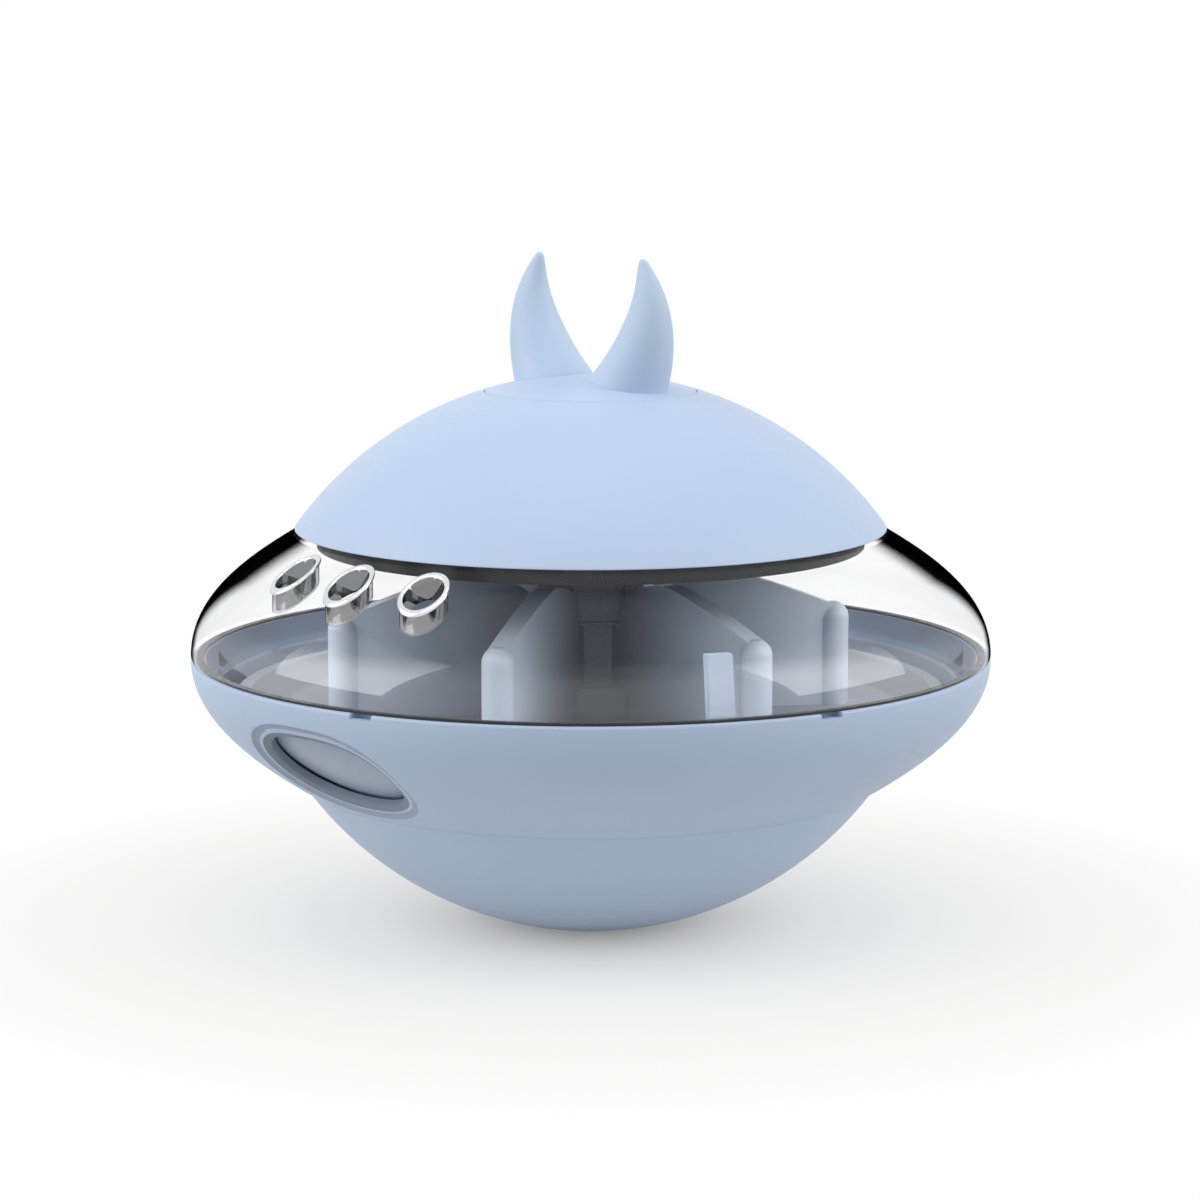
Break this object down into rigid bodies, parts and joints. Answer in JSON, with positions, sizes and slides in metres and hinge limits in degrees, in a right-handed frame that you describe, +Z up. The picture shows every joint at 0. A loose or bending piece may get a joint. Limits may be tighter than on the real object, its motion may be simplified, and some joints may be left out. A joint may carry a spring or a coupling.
{
  "type": "treat dispensing wobble toy",
  "caption": "Saucer-shaped pet toy that rocks on a weighted round base and drops treats through a gated port and small sleeves; clear ring window, domed lid, plug with soft ears.",
  "frame": {"origin": "centre of the flat foot under the base cup, on the ground", "axes": "+Z up along the toy's axis; -Y is the front, towards the treat port and the middle outlet sleeve; +X is to the right of someone who looks at the port's back from inside, which is the port's right as seen by a viewer in front"},
  "size_m": [0.12, 0.12, 0.1006],
  "materials": {
    "shell": "satin-matte light blue plastic",
    "ear": "matte light blue silicone",
    "window": "clear, faintly smoky, polished",
    "sleeve": "clear, polished, bright rims",
    "inner": "satin pale blue-grey plastic",
    "tray": "satin blue-grey plastic",
    "gate": "satin light blue plastic",
    "seal": "matte dark rubber",
    "steel": "turned steel",
    "zinc": "zinc-plated"
  },
  "bodies": {
    "root": {"base_cup": "shell", "base_weight": "steel", "weight_washer": "zinc", "weight_screw": "zinc", "base_screws": "zinc", "saucer_bowl": "shell", "seam_seal": "seal", "treat_tray": "tray", "partition_wheel": "inner", "hub_cap": "inner", "hub_screw": "zinc"},
    "gate": {"gate_ring": "gate"},
    "window": {"window_ring": "window", "outlet_sleeve_left": "sleeve", "outlet_sleeve_middle": "sleeve", "outlet_sleeve_right": "sleeve"},
    "dome": {"top_dome": "shell", "lid_seal": "seal"},
    "plug": {"ear_cap": "shell", "left_ear": "ear", "right_ear": "ear", "plug_seal": "seal"}
  },
  "joints": [
    {"name": "gate_turn", "type": "hinge", "parent": "root", "child": "gate", "pos_m": [0, 0, 0.03], "axis": [0, 0, 1], "range_deg": [0, 45]},
    {"name": "window_twist", "type": "hinge", "parent": "root", "child": "window", "pos_m": [0, 0, 0.041], "axis": [0, 0, 1], "range_deg": [0, 25]},
    {"name": "dome_lift", "type": "slide", "parent": "window", "child": "dome", "axis": [0, 0, 1], "range_m": [0, 0.03]},
    {"name": "plug_lift", "type": "slide", "parent": "dome", "child": "plug", "axis": [0, 0, 1], "range_m": [0, 0.03]}
  ]
}
